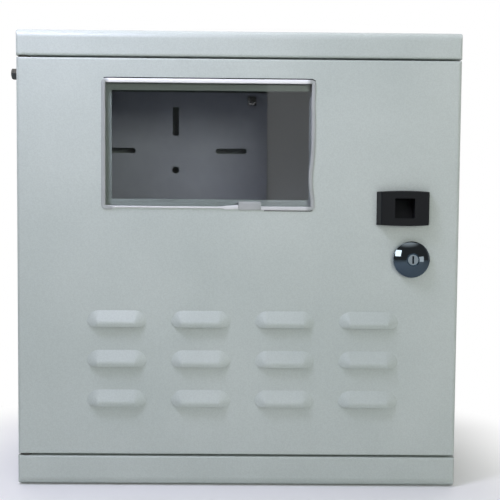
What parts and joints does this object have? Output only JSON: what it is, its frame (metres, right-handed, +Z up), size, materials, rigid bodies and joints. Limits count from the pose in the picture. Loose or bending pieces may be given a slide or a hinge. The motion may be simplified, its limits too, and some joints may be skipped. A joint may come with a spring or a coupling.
{
  "type": "electric meter box",
  "caption": "Wall-mounted folded steel meter box with a louvred hinged door, viewing window, finger pull, quarter-turn key lock and slotted meter plate.",
  "frame": {"origin": "middle of the four wall holes, on the back face of the cabinet", "axes": "+X to the right, +Y into the wall, +Z up; the door faces -Y"},
  "size_m": [0.449, 0.1828, 0.45],
  "materials": {
    "powder_coat": "light grey textured powder coat",
    "plate_coat": "grey coated steel",
    "zinc_steel": "zinc plated",
    "white_pvc": "extruded",
    "clear_pane": "clear acrylic",
    "foam_seal": "closed-cell foam",
    "black_moulding": "moulded, fine grain",
    "chrome_plate": "polished chrome",
    "nylon": "moulded"
  },
  "bodies": {
    "cabinet": {"cabinet_wrap": "powder_coat", "top_hood": "powder_coat", "bottom_pan": "powder_coat", "front_frame": "powder_coat", "meter_plate": "plate_coat", "plate_studs": "zinc_steel", "plate_spacers": "zinc_steel", "plate_nuts": "zinc_steel", "earth_bolt": "zinc_steel", "earth_washers": "zinc_steel", "earth_nuts": "zinc_steel", "hinge_pin_upper": "zinc_steel", "hinge_pin_lower": "zinc_steel"},
    "door": {"door_panel": "powder_coat", "window_edge_trim": "white_pvc", "window_pane": "clear_pane", "window_retainer": "powder_coat", "retainer_studs": "zinc_steel", "retainer_nuts": "zinc_steel", "door_seal": "foam_seal", "finger_pull": "black_moulding", "pull_screws": "zinc_steel", "hinge_bush_upper": "nylon", "hinge_bush_lower": "nylon", "lock_body": "chrome_plate", "lock_nut": "zinc_steel"},
    "lock_plug": {"lock_plug": "chrome_plate", "lock_cam": "zinc_steel", "cam_nut": "zinc_steel"}
  },
  "joints": [
    {"name": "door_hinge", "type": "hinge", "parent": "cabinet", "child": "door", "pos_m": [-0.2105, -0.1645, 0], "axis": [0, 0, -1], "range_deg": [0, 150]},
    {"name": "lock_turn", "type": "hinge", "parent": "door", "child": "lock_plug", "pos_m": [0.1699, -0.16, 0.0031], "axis": [0, -1, 0], "range_deg": [0, 90]}
  ]
}
